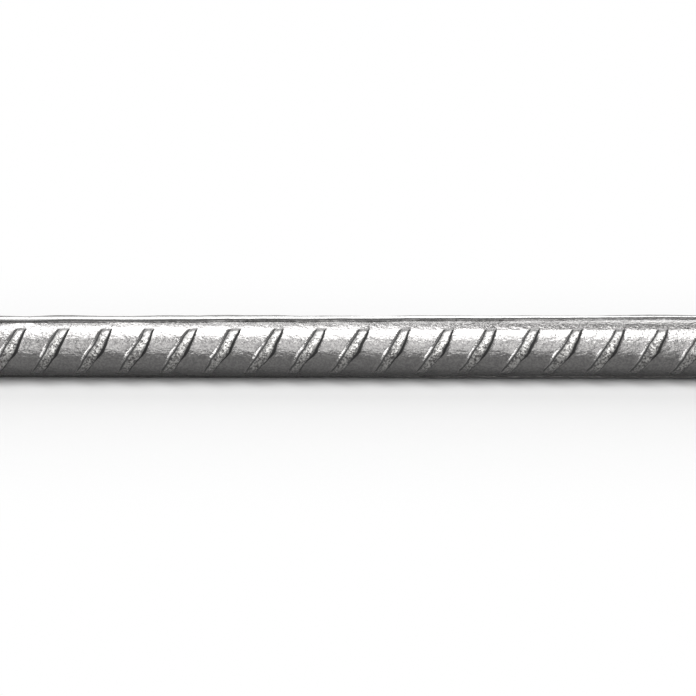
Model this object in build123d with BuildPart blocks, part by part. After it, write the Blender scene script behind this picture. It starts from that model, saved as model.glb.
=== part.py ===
from build123d import *
import math
import os

# Hot-rolled steel reinforcing bar of the half-inch size, cut to a two-foot length.
# Millimetres and degrees. X runs along the bar, Z is up, and the origin is on the floor
# under the middle of the bar, which lies on the flat crest of its lower longitudinal rib.
bar_length = 609.6
core_diameter = 12.1

# Two longitudinal ribs stand on opposite sides of the round core, where the rolls part.
rib_count = 2
rib_height = 0.25
rib_crest_width = 2.7
rib_flank_angle = 65
rib_root_radius = 0.25
rib_edge_radius = 0.25

# Both ends are cut square, with the burr taken off.
end_chamfer = 0.15

core_radius = core_diameter / 2
crest_level = core_radius + rib_height

# Each rib is drawn as a block with sloping flanks that reaches halfway into the core.
block_foot_level = core_radius / 2
block_height = crest_level - block_foot_level
block_middle = (crest_level + block_foot_level) / 2
block_foot_width = rib_crest_width + 2 * block_height / math.tan(math.radians(rib_flank_angle))

# The section stands across the bar at mid-length, as high as the lower crest lifts the core.
section_plane = Plane(origin=(0, 0, crest_level), x_dir=(0, 1, 0), z_dir=(1, 0, 0))
bottom_angle = -90
crest_outward = -90

with BuildPart() as reinforcing_bar:
    with BuildSketch(section_plane) as section:
        Circle(core_radius)
        with PolarLocations(block_middle, rib_count, start_angle=bottom_angle):
            Trapezoid(block_foot_width, block_height, rib_flank_angle, rotation=crest_outward)

        # The steel fills the corners of the roll gap, so roots and crest edges are round.
        levels = section.vertices().group_by(Axis.Y)
        fillet(levels[1] + levels[-2], rib_root_radius)
        levels = section.vertices().group_by(Axis.Y)
        fillet(levels[0] + levels[-1], rib_edge_radius)
    extrude(amount=bar_length / 2, both=True)

    # Deburred edge all round each cut end
    cut_ends = reinforcing_bar.faces().filter_by(Axis.X)
    chamfer(cut_ends.edges(), end_chamfer)

reinforcing_bar.part.label = "reinforcing_bar"

os.makedirs("parts", exist_ok=True)
export_step(reinforcing_bar.part, "parts/reinforcing_bar.step")
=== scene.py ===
import math
import bpy
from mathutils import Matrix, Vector


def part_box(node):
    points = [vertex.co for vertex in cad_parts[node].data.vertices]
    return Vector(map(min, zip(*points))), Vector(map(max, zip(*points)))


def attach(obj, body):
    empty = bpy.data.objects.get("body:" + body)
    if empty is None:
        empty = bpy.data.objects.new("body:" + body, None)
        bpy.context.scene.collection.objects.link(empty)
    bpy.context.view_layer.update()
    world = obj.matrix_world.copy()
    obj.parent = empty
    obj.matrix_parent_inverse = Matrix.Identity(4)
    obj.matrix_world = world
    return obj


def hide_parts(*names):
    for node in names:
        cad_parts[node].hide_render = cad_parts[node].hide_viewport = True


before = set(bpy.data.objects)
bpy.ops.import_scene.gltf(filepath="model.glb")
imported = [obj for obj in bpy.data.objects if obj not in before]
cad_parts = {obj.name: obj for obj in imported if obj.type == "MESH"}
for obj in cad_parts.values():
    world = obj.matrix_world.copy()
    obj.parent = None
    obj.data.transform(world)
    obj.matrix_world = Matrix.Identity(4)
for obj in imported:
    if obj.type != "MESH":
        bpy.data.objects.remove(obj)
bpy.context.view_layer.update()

# Reinforcing bar
# One length of hot-rolled carbon steel: a round core, two longitudinal ribs where the rolls part,
# and rows of slanted crescent ribs that the roll grooves press up on both sides between them.
mm = 0.001
lowest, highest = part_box("reinforcing_bar")
bar_length = highest[0] - lowest[0]
core_radius = (highest[1] - lowest[1]) / 2
axis_height = (highest[2] - lowest[2]) / 2
core_sides = 48

# One stretch of plain core as long as the rib pitch, with cuts along the edges of the ribs to come.
# At each cut the profile gives the crescent's height and how much shade is painted there: a wide crest,
# a steep flank on the right and a flank on the left that runs out in a hollow root. The painted shade is
# darkest and widest on the steep right flank.
rib_pitch = 8.70 * mm
longitudinal_cuts = [0.40 * mm, 1.24 * mm, 1.36 * mm, 1.50 * mm]
upper_end = 4.72 * mm
upper_foot = 5.02 * mm
lower_end = -3.90 * mm
lower_foot = -4.30 * mm
# Each pair is the crescent's height share and the share of painted shade at that cut.
rib_profile = {
    -3.60 * mm: (0.00, 0.0),
    -2.75 * mm: (0.00, 0.0),
    -2.25 * mm: (0.03, 0.0),
    -2.00 * mm: (0.14, 0.0),
    -1.75 * mm: (0.30, 0.0),
    -1.50 * mm: (0.47, 0.6),
    -1.40 * mm: (0.60, 1.0),
    -1.20 * mm: (0.90, 1.0),
    -1.04 * mm: (0.97, 0.4),
    -0.40 * mm: (1.00, 0.0),
    0.40 * mm: (1.00, 0.0),
    1.00 * mm: (0.96, 0.5),
    1.16 * mm: (0.86, 1.0),
    1.50 * mm: (0.42, 1.0),
    1.80 * mm: (0.10, 1.0),
    1.98 * mm: (0.02, 0.0),
    2.75 * mm: (0.00, 0.0),
    3.60 * mm: (0.00, 0.0),
}
cut_threshold = 0.001 * mm
along_bar = (0, math.pi / 2, 0)

bpy.ops.object.select_all(action="DESELECT")
bpy.ops.mesh.primitive_cylinder_add(
    vertices=core_sides,
    radius=core_radius,
    depth=rib_pitch,
    end_fill_type="NOTHING",
    rotation=along_bar,
)
bar = bpy.context.object
bar.name = "reinforcing_bar_rolled"
bpy.ops.object.transform_apply(location=False, rotation=True, scale=False)
cuts = [((offset, 0, 0), (1, 0, 0)) for offset in rib_profile]
for side in (-1, 1):
    cuts += [((0, side * offset, 0), (0, 1, 0)) for offset in longitudinal_cuts]
cuts += [((0, 0, level), (0, 0, 1)) for level in (upper_end, upper_foot, lower_end, lower_foot)]
bpy.ops.object.mode_set(mode="EDIT")
for place, direction in cuts:
    bpy.ops.mesh.select_all(action="SELECT")
    bpy.ops.mesh.bisect(plane_co=place, plane_no=direction, threshold=cut_threshold)
bpy.ops.object.mode_set(mode="OBJECT")

# How far each point is raised or moved is a weight from its place on the stretch.
cut_match = 0.05 * mm


def ramp(value, low, high):
    return min(max((value - low) / (high - low), 0.0), 1.0)


def weigh(name, weight_of):
    group = bar.vertex_groups.new(name=name)
    for vertex in bar.data.vertices:
        group.add([vertex.index], min(max(weight_of(vertex.co), 0.0), 1.0), "REPLACE")
    return name


# The crescents are highest at the belly, sink toward both ends and stop short of the longitudinal ribs.
crescent_height = 0.66 * mm
end_lowering = 0.62
belly_height = 0.5 * mm


def crescent_along(place):
    toward_end = max(ramp(place.z, belly_height, upper_end), ramp(-place.z, -belly_height, -lower_end))
    inside = ramp(-place.z, -upper_foot, -upper_end) * ramp(place.z, lower_foot, lower_end)
    return (1 - end_lowering * toward_end) * inside


def across_rib(place):
    nearest = min(rib_profile, key=lambda cut: abs(cut - place.x))
    return rib_profile[nearest] if abs(nearest - place.x) < cut_match else (0.0, 0.0)


def crescent_weight(place):
    return across_rib(place)[0] * crescent_along(place)


# The longitudinal ribs have a flat crest with sharp edges.
longitudinal_half_width = 1.26 * mm
longitudinal_height = 0.35 * mm


def longitudinal_weight(place):
    sideways = abs(place.y)
    if sideways > longitudinal_half_width + cut_match / 2:
        return 0.0
    tilt = math.asin(sideways / core_radius)
    return (axis_height / math.cos(tilt) - core_radius) / longitudinal_height


# Painted shade: dark colour painted along both edges of the longitudinal ribs, on the flanks
# of the crescents and, thinner, at both of their ends, where creases and steep flanks fall into shade. It
# is the same on both sides of the bar.
painted_edge_inner = 0.35 * mm
painted_edge_full = 1.05 * mm
painted_edge_outer = 1.36 * mm
flank_fade_end = 0.8 * lower_foot
painted_cap_shade = 0.45
cap_reach = 0.3 * mm
cap_from_height = 0.3
cap_full_height = 0.9


# Painted shade: how dark the colour is painted at each point of the stretch.
def painted_shade_weight(place):
    sideways = abs(place.y)
    edges = ramp(sideways, painted_edge_inner, painted_edge_full)
    edges *= ramp(-sideways, -painted_edge_outer, -longitudinal_half_width)
    height, dark = across_rib(place)
    below_upper_end = ramp(-place.z, -upper_foot, -upper_end)
    flank = dark * ramp(place.z, lower_foot, flank_fade_end) * below_upper_end
    upper_cap = ramp(place.z, upper_end - cap_reach, upper_end) * below_upper_end
    lower_cap = ramp(-place.z, -lower_end - cap_reach, -lower_end) * ramp(place.z, lower_foot, lower_end)
    cap = painted_cap_shade * ramp(height, cap_from_height, cap_full_height) * max(upper_cap, lower_cap)
    return max(edges, flank, cap)


# Away from the belly the crescents are drawn in: their right side by a wedge, their left side by
# a steeper flank.
narrowing_above = 0.7 * mm
narrowing_below = 0.5 * mm
narrowing_most = 2.4 * mm
steepening = 0.8
wedge_above = 0.7
wedge_below = 0.65
wedge_reach = 1.6 * mm
crest_edge = 1.14 * mm
line_edge = 1.50 * mm
root_edge = 2.7 * mm


def drawn_in(place, side):
    outward = side * place.x
    if outward < 0:
        return 0.0
    run = max(min(outward, root_edge) - (crest_edge if side > 0 else line_edge), 0.0)
    above = ramp(place.z, belly_height, upper_end)
    below = ramp(-place.z, -belly_height, -lower_end)
    if side < 0:
        moved = run * max(end_lowering * above, steepening * below)
    else:
        near_belly = ramp(-place.z, -belly_height, wedge_reach - belly_height)
        moved = run * max(wedge_above * above, wedge_below * near_belly)
        moved += max(narrowing_above * above, narrowing_below * below) * ramp(outward, 0, crest_edge)
    return moved * ramp(-outward, -rib_pitch / 2, -root_edge) / narrowing_most


# The ribs slant: a point moves along the bar with its height, from none at the foot to all at the top.
lean = 0.65
lean_turn = math.radians(9)
slant = 2 * lean * core_radius


def rise(place):
    from_axis = place.z * math.cos(lean_turn) + place.y * math.sin(lean_turn)
    return from_axis / core_radius / 2 + 0.5


# The rolls part along the top and the bottom, and the edges of the lower crest wander least.
# Single crescents wander along the bar, but not the middle of the core between them.
parting_inner = 1.9 * mm
parting_outer = 3.6 * mm
edge_middle = 1.3 * mm
edge_reach = 0.9 * mm
lower_edge_share = 0.25
rib_zone_inner = 1.9 * mm
rib_zone_outer = 3.4 * mm


def near_parting(place):
    return ramp(-abs(place.y), -parting_outer, -parting_inner)


def near_edge(place):
    share = 1.0 if place.z > 0 else lower_edge_share
    return (1 - abs(abs(place.y) - edge_middle) / edge_reach) * share


crescent = weigh("crescent", crescent_weight)
longitudinal = weigh("longitudinal", longitudinal_weight)
drawn_left = weigh("drawn_left", lambda place: drawn_in(place, 1))
drawn_right = weigh("drawn_right", lambda place: drawn_in(place, -1))
rising = weigh("rising", rise)
parting = weigh("parting", near_parting)
edge_line = weigh("edge_line", near_edge)
rib_zone = weigh("rib_zone", lambda place: ramp(-abs(place.x), -rib_zone_outer, -rib_zone_inner))
everywhere = weigh("everywhere", lambda place: 1.0)
# Painted shade weights, which the material turns into dark colour.
painted_shade_group = weigh("painted_shade_group", painted_shade_weight)

# The stretch is repeated along the bar, past both ends.
rib_phase = 0.90 * mm
spare_ribs = 4
rib_count = math.ceil(bar_length / rib_pitch) + spare_ribs
first_rib = -(rib_count - 1) / 2 * rib_pitch + rib_phase
merge_reach = 0.01 * mm
bpy.ops.object.mode_set(mode="EDIT")
bpy.ops.mesh.select_all(action="SELECT")
bpy.ops.transform.translate(value=(first_rib, 0, 0))
bpy.ops.object.mode_set(mode="OBJECT")
row = bar.modifiers.new("row", "ARRAY")
row.count = rib_count
row.use_relative_offset = False
row.use_constant_offset = True
row.constant_offset_displace = (rib_pitch, 0, 0)
row.use_merge_vertices = True
row.merge_threshold = merge_reach
bpy.ops.object.modifier_apply(modifier=row.name)


def displace(group, direction, strength, texture=None, mid_level=0.0):
    step = bar.modifiers.new("step", "DISPLACE")
    step.vertex_group = group
    step.direction = direction
    step.strength = strength
    step.mid_level = mid_level
    step.texture = texture
    bpy.ops.object.modifier_apply(modifier=step.name)


# The bar is slightly twisted, so both parting lines wander slowly around it. They are moved sideways
# and then seated on the round core again.
wander_length = 290 * mm
wander = 0.65 * mm
wander_bias = 0.3
wander_most = 1 + wander_bias
seat_sides = 360
seat_length = 2 * bar_length


def wander_weight(place, side):
    wave = math.sin(2 * math.pi * place.x / wander_length) + wander_bias
    turn = side * math.copysign(1, place.z) * wave
    return max(0.0, turn) * near_parting(place) / wander_most


to_back = weigh("to_back", lambda place: wander_weight(place, 1))
displace(to_back, "Y", wander_most * wander)
to_front = weigh("to_front", lambda place: wander_weight(place, -1))
displace(to_front, "Y", -wander_most * wander)
bpy.ops.mesh.primitive_cylinder_add(
    vertices=seat_sides, radius=core_radius, depth=seat_length, rotation=along_bar
)
core = bpy.context.object
bpy.ops.object.select_all(action="DESELECT")
bar.select_set(True)
bpy.context.view_layer.objects.active = bar
seat = bar.modifiers.new("seat", "SHRINKWRAP")
seat.target = core
seat.wrap_method = "NEAREST_SURFACEPOINT"
seat.vertex_group = parting
bpy.ops.object.modifier_apply(modifier=seat.name)
bpy.data.objects.remove(core)

displace(longitudinal, "NORMAL", longitudinal_height)
displace(crescent, "NORMAL", crescent_height)
displace(drawn_left, "X", -narrowing_most)
displace(drawn_right, "X", narrowing_most)
displace(rising, "X", slant)
bpy.ops.object.mode_set(mode="EDIT")
bpy.ops.mesh.select_all(action="SELECT")
bpy.ops.transform.translate(value=(-slant / 2, 0, 0))
bpy.ops.object.mode_set(mode="OBJECT")

# Worn rolls and cooling leave every rib a little different. A cloud's middle grey moves nothing.
middle_grey = 0.5


def roughen(name, group, direction, strength, size, depth=0):
    clouds = bpy.data.textures.new(name, "CLOUDS")
    clouds.noise_scale = size
    clouds.noise_depth = depth
    displace(group, direction, strength, clouds, middle_grey)


roughen("rib_height", crescent, "NORMAL", strength=0.25 * mm, size=6 * mm, depth=1)
roughen("rib_wander", rib_zone, "X", strength=0.7 * mm, size=7 * mm, depth=1)
roughen("rib_edge", rib_zone, "X", strength=0.35 * mm, size=1.6 * mm)
roughen("parting_wander", edge_line, "Y", strength=3.4 * mm, size=16 * mm, depth=1)
roughen("surface", everywhere, "NORMAL", strength=0.10 * mm, size=2 * mm, depth=1)
roughen("rough_crest", crescent, "NORMAL", strength=0.22 * mm, size=1.1 * mm)

# Both ends are cut square and deburred, and the bar is laid on its lower longitudinal rib.
burr = 0.15 * mm
end_scale = 1 - burr / core_radius
smooth_angle = math.radians(40)
bpy.ops.object.mode_set(mode="EDIT")
for side in (-1, 1):
    bpy.ops.mesh.select_all(action="SELECT")
    bpy.ops.mesh.bisect(
        plane_co=(side * (bar_length / 2 - burr), 0, 0),
        plane_no=(side, 0, 0),
        use_fill=True,
        clear_outer=True,
        threshold=cut_threshold,
    )
    bpy.ops.mesh.extrude_region_move(TRANSFORM_OT_translate={"value": (side * burr, 0, 0)})
    bpy.ops.transform.resize(
        value=(1, end_scale, end_scale),
        center_override=(side * bar_length / 2, 0, 0),
    )
bpy.ops.mesh.select_all(action="SELECT")
bpy.ops.transform.translate(value=(0, 0, axis_height))
bpy.ops.object.mode_set(mode="OBJECT")
bpy.ops.object.shade_smooth_by_angle(angle=smooth_angle)

# The weight of the painted shade is kept as an attribute that the material reads.
painted_shade_index = bar.vertex_groups[painted_shade_group].index
painted_shade_values = [
    sum(member.weight for member in vertex.groups if member.group == painted_shade_index)
    for vertex in bar.data.vertices
]
bar.data.attributes.new("painted_shade", "FLOAT", "POINT").data.foreach_set("value", painted_shade_values)


# Hot-rolled carbon steel with a thin dark mill scale: a grey metal sheen with fine grain, crests that
# rolls and handling have scuffed to light and dark specks, and dull dark lines of painted shade along the
# rib edges, flanks and ends.
def linear(hex_colour):
    channels = [int(hex_colour[i:i + 2], 16) / 255 for i in (1, 3, 5)]
    return [c / 12.92 if c <= 0.04045 else ((c + 0.055) / 1.055) ** 2.4 for c in channels] + [1.0]


def add_node(tree, kind, settings, inputs):
    made = tree.nodes.new(kind)
    for name, value in settings.items():
        setattr(made, name, value)
    for socket, value in inputs.items():
        if isinstance(value, bpy.types.NodeSocket):
            tree.links.new(value, made.inputs[socket])
        else:
            made.inputs[socket].default_value = value
    return made


# A Mix node's colour sockets share their names with others, so they are taken by number.
mix_factor = 0
mix_first = 6
mix_second = 7
mix_result = 2

scale_dark = linear("#605F5F")
scale_light = linear("#747372")
pit_dark = linear("#454444")
worn_light = linear("#9D9C9A")
# Painted shade: the dull dark colour painted on rib edges, flanks and ends.
painted_shade_colour = linear("#303030")
cut_dark = linear("#808183")
cut_light = linear("#96979A")

# The scale's own grain is under 0.1 mm and too fine to show, so grain and specks are drawn coarser.
grain_size = 0.7 * mm
grain_stretch = 0.55
speck_size = 0.42 * mm
speck_low = 0.40
speck_high = 0.60
blotch_size = 3.5 * mm
blotch_low = 0.35
blotch_high = 0.65
cloud_detail = 3.0
cloud_roughness = 0.6
speck_detail = 2.0
speck_roughness = 0.7
worn_from = core_radius + 0.20 * mm
worn_full = core_radius + 0.45 * mm
smooth_roughness = 0.13
dull_roughness = 0.22
painted_shade_roughness = 0.75
painted_shade_specular = 0.1
core_relief = 0.40
crest_relief = 0.55
relief_depth = 0.40 * mm

# Blender's wave repeats once in this number divided by its scale.
wave_repeat = 0.31
saw_pitch = 0.40 * mm
saw_waver = 0.7
saw_detail = 2.0
saw_relief = 0.5
saw_depth = 0.05 * mm
cut_roughness = 0.38
cut_layer = 0.03 * mm

steel = bpy.data.materials.new("hot_rolled_steel_mill_scale")
steel.use_nodes = True
tree = steel.node_tree
tree.nodes.clear()
place = add_node(tree, "ShaderNodeTexCoord", {}, {}).outputs["Object"]
from_axis = add_node(
    tree, "ShaderNodeVectorMath", {"operation": "SUBTRACT"}, {0: place, 1: (0, 0, axis_height)}
).outputs["Vector"]
across = add_node(
    tree, "ShaderNodeVectorMath", {"operation": "MULTIPLY"}, {0: from_axis, 1: (0, 1, 1)}
).outputs["Vector"]
radius = add_node(tree, "ShaderNodeVectorMath", {"operation": "LENGTH"}, {0: across}).outputs["Value"]
high = add_node(
    tree,
    "ShaderNodeMapRange",
    {"interpolation_type": "SMOOTHSTEP"},
    {"Value": radius, "From Min": worn_from, "From Max": worn_full},
).outputs["Result"]
# How much painted shade lies at each point.
painted_shade_amount = add_node(tree, "ShaderNodeAttribute", {"attribute_name": "painted_shade"}, {}).outputs["Fac"]
drawn_out = add_node(
    tree, "ShaderNodeVectorMath", {"operation": "MULTIPLY"}, {0: place, 1: (grain_stretch, 1, 1)}
).outputs["Vector"]
grain = add_node(
    tree,
    "ShaderNodeTexNoise",
    {},
    {
        "Vector": drawn_out,
        "Scale": 1 / grain_size,
        "Detail": cloud_detail,
        "Roughness": cloud_roughness,
    },
).outputs["Fac"]
speck = add_node(
    tree,
    "ShaderNodeTexNoise",
    {},
    {"Vector": place, "Scale": 1 / speck_size, "Detail": speck_detail, "Roughness": speck_roughness},
).outputs["Fac"]
shade = add_node(
    tree, "ShaderNodeMapRange", {}, {"Value": speck, "From Min": speck_low, "From Max": speck_high}
).outputs["Result"]
dark_speck = add_node(
    tree,
    "ShaderNodeMix",
    {"data_type": "RGBA"},
    {mix_factor: high, mix_first: scale_dark, mix_second: pit_dark},
).outputs[mix_result]
bright_speck = add_node(
    tree,
    "ShaderNodeMix",
    {"data_type": "RGBA"},
    {mix_factor: high, mix_first: scale_light, mix_second: worn_light},
).outputs[mix_result]
scale_colour = add_node(
    tree,
    "ShaderNodeMix",
    {"data_type": "RGBA"},
    {mix_factor: shade, mix_first: dark_speck, mix_second: bright_speck},
).outputs[mix_result]
# Painted shade is mixed over the scale colour here; where it lies the surface is also less metallic and
# rougher.
rolled_colour = add_node(
    tree,
    "ShaderNodeMix",
    {"data_type": "RGBA"},
    {mix_factor: painted_shade_amount, mix_first: scale_colour, mix_second: painted_shade_colour},
).outputs[mix_result]
rolled_metallic = add_node(
    tree, "ShaderNodeMapRange", {}, {"Value": painted_shade_amount, "To Min": 1.0, "To Max": 0.0}
).outputs["Result"]
blotch = add_node(
    tree,
    "ShaderNodeTexNoise",
    {},
    {
        "Vector": place,
        "Scale": 1 / blotch_size,
        "Detail": cloud_detail,
        "Roughness": cloud_roughness,
    },
).outputs["Fac"]
scale_roughness = add_node(
    tree,
    "ShaderNodeMapRange",
    {},
    {
        "Value": blotch,
        "From Min": blotch_low,
        "From Max": blotch_high,
        "To Min": smooth_roughness,
        "To Max": dull_roughness,
    },
).outputs["Result"]
rolled_roughness = add_node(
    tree,
    "ShaderNodeMapRange",
    {},
    {"Value": painted_shade_amount, "To Min": scale_roughness, "To Max": painted_shade_roughness},
).outputs["Result"]
relief = add_node(
    tree, "ShaderNodeMapRange", {}, {"Value": high, "To Min": core_relief, "To Max": crest_relief}
).outputs["Result"]
rolled_normal = add_node(
    tree, "ShaderNodeBump", {}, {"Strength": relief, "Distance": relief_depth, "Height": grain}
).outputs["Normal"]

# The cut ends are bare sawn steel: paler, with straight marks that waver a little.
along = add_node(
    tree, "ShaderNodeVectorMath", {"operation": "DOT_PRODUCT"}, {0: place, 1: (1, 0, 0)}
).outputs["Value"]
from_middle = add_node(tree, "ShaderNodeMath", {"operation": "ABSOLUTE"}, {0: along}).outputs["Value"]
cut_face = add_node(
    tree,
    "ShaderNodeMath",
    {"operation": "GREATER_THAN"},
    {0: from_middle, 1: bar_length / 2 - cut_layer},
).outputs["Value"]
saw_marks = add_node(
    tree,
    "ShaderNodeTexWave",
    {"bands_direction": "Z"},
    {
        "Vector": place,
        "Scale": wave_repeat / saw_pitch,
        "Distortion": saw_waver,
        "Detail": saw_detail,
        "Detail Scale": 1.0,
    },
).outputs["Fac"]
cut_colour = add_node(
    tree,
    "ShaderNodeMix",
    {"data_type": "RGBA"},
    {mix_factor: saw_marks, mix_first: cut_dark, mix_second: cut_light},
).outputs[mix_result]
colour = add_node(
    tree,
    "ShaderNodeMix",
    {"data_type": "RGBA"},
    {mix_factor: cut_face, mix_first: rolled_colour, mix_second: cut_colour},
).outputs[mix_result]
metallic = add_node(
    tree, "ShaderNodeMath", {"operation": "MAXIMUM"}, {0: rolled_metallic, 1: cut_face}
).outputs["Value"]
roughness = add_node(
    tree,
    "ShaderNodeMapRange",
    {},
    {"Value": cut_face, "To Min": rolled_roughness, "To Max": cut_roughness},
).outputs["Result"]
sawn = add_node(
    tree, "ShaderNodeMath", {"operation": "MULTIPLY"}, {0: cut_face, 1: saw_relief}
).outputs["Value"]
normal = add_node(
    tree,
    "ShaderNodeBump",
    {},
    {"Strength": sawn, "Distance": saw_depth, "Height": saw_marks, "Normal": rolled_normal},
).outputs["Normal"]
shader = add_node(
    tree,
    "ShaderNodeBsdfPrincipled",
    {},
    {
        "Base Color": colour,
        "Metallic": metallic,
        "Roughness": roughness,
        "Specular IOR Level": painted_shade_specular,
        "Normal": normal,
    },
)
add_node(tree, "ShaderNodeOutputMaterial", {}, {"Surface": shader.outputs["BSDF"]})
bar.data.materials.clear()
bar.data.materials.append(steel)

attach(bar, "root")
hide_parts("reinforcing_bar")

# Floor
# A wide matt pale studio floor, level with the lowest point of the bar, that keeps the bar's shadow
# and fades to plain white away from it.
floor_size = 40.0
floor_level = min(corner[2] for corner in bar.bound_box)
fade_start = 8 * mm
fade_end = 80 * mm
white = linear("#FFFFFF")
paper_colour = linear("#B3B3B3")
paper_roughness = 0.9
paper_specular = 0.1
bpy.ops.object.select_all(action="DESELECT")
bpy.ops.mesh.primitive_plane_add(size=floor_size, location=(0, 0, floor_level))
floor = bpy.context.object
floor.name = "studio_floor"
paper = bpy.data.materials.new("matt_pale_paper")
paper.use_nodes = True
tree = paper.node_tree
tree.nodes.clear()


# One where a ray comes straight from the camera, from a mirroring surface or through a clear one.
def seen(tree):
    path = add_node(tree, "ShaderNodeLightPath", {}, {}).outputs
    straight = add_node(
        tree,
        "ShaderNodeMath",
        {"operation": "ADD"},
        {0: path["Is Camera Ray"], 1: path["Is Glossy Ray"]},
    ).outputs["Value"]
    return add_node(
        tree,
        "ShaderNodeMath",
        {"operation": "MAXIMUM"},
        {0: straight, 1: path["Is Transmission Ray"]},
    ).outputs["Value"]


place = add_node(tree, "ShaderNodeTexCoord", {}, {}).outputs["Object"]
one_side = add_node(
    tree, "ShaderNodeVectorMath", {"operation": "ABSOLUTE"}, {0: place}
).outputs["Vector"]
past_ends = add_node(
    tree,
    "ShaderNodeVectorMath",
    {"operation": "SUBTRACT"},
    {0: one_side, 1: (bar_length / 2, 0, 0)},
).outputs["Vector"]
from_bar = add_node(
    tree, "ShaderNodeVectorMath", {"operation": "MAXIMUM"}, {0: past_ends, 1: (0, 0, 0)}
).outputs["Vector"]
reach = add_node(tree, "ShaderNodeVectorMath", {"operation": "LENGTH"}, {0: from_bar}).outputs["Value"]
far = add_node(
    tree,
    "ShaderNodeMapRange",
    {"interpolation_type": "SMOOTHSTEP"},
    {"Value": reach, "From Min": fade_start, "From Max": fade_end},
).outputs["Result"]
fade = add_node(tree, "ShaderNodeMath", {"operation": "MULTIPLY"}, {0: far, 1: seen(tree)}).outputs["Value"]
matt = add_node(
    tree,
    "ShaderNodeBsdfPrincipled",
    {},
    {"Base Color": paper_colour, "Roughness": paper_roughness, "Specular IOR Level": paper_specular},
).outputs["BSDF"]
plain = add_node(tree, "ShaderNodeEmission", {}, {"Color": white, "Strength": 1.0}).outputs["Emission"]
surface = add_node(tree, "ShaderNodeMixShader", {}, {0: fade, 1: matt, 2: plain}).outputs["Shader"]
add_node(tree, "ShaderNodeOutputMaterial", {}, {"Surface": surface})
floor.data.materials.append(paper)


# Lights
# Soft studio light: two softboxes side by side overhead, one of them further forward, a panel in front,
# a softbox at the front left and a tall panel behind. Metres, and each shines at its target.
def softbox(name, centre, target, width, length, radiance):
    bpy.ops.object.light_add(type="AREA", location=centre)
    lamp = bpy.context.object
    lamp.name = name
    lamp.rotation_euler = (Vector(target) - Vector(centre)).to_track_quat("-Z", "Y").to_euler()
    lamp.data.shape = "RECTANGLE"
    lamp.data.size = width
    lamp.data.size_y = length
    lamp.data.energy = radiance * math.pi * width * length
    lamp.visible_camera = False


softbox(
    "overhead_left_softbox",
    centre=(-0.3, -0.195, 2.0),
    target=(-0.3, -0.195, 0),
    width=0.6,
    length=2.11,
    radiance=8.9,
)
softbox(
    "overhead_right_softbox",
    centre=(0.3, -0.755, 2.0),
    target=(0.3, -0.755, 0),
    width=0.6,
    length=2.05,
    radiance=9.1,
)
softbox(
    "front_panel",
    centre=(0, -2.4, 1.25),
    target=(0, 0, 1.25),
    width=1.35,
    length=2.5,
    radiance=2.7,
)
softbox(
    "left_softbox",
    centre=(-1.70, -1.65, 1.08),
    target=(0, 0, 0.3),
    width=1.05,
    length=2.0,
    radiance=8.6,
)
softbox(
    "back_panel",
    centre=(0, 2.6, 1.65),
    target=(0, 0, 1.65),
    width=1.8,
    length=3.3,
    radiance=4.4,
)

# The room is plain white where it is seen, straight or in the steel, and adds only weak fill.
fill = linear("#202020")
world = bpy.data.worlds.new("studio")
world.use_nodes = True
tree = world.node_tree
tree.nodes.clear()
room = add_node(
    tree,
    "ShaderNodeMix",
    {"data_type": "RGBA"},
    {mix_factor: seen(tree), mix_first: fill, mix_second: white},
).outputs[mix_result]
background = add_node(
    tree, "ShaderNodeBackground", {}, {"Color": room, "Strength": 1.0}
).outputs["Background"]
add_node(tree, "ShaderNodeOutputWorld", {}, {"Surface": background})
bpy.context.scene.world = world

# Camera
# Looks at the middle of the bar from the side and a little above, with the ends out of the picture.
# Lens and sensor are in millimetres, as the camera takes them.
picture_width = 143.5 * mm
lens = 110.0
sensor = 36.0
elevation = math.radians(18)
roll = math.radians(-0.05)
aim_drop = 0.25 * mm
nearest_seen = 10 * mm
distance = picture_width * lens / sensor
target = Vector((0, 0, axis_height - aim_drop))
bpy.ops.object.camera_add(
    location=target + distance * Vector((0, -math.cos(elevation), math.sin(elevation))),
    rotation=(math.pi / 2 - elevation, roll, 0),
)
camera = bpy.context.object
camera.data.lens = lens
camera.data.sensor_width = sensor
camera.data.clip_start = nearest_seen
bpy.context.scene.camera = camera
bpy.context.scene.view_settings.view_transform = "Standard"
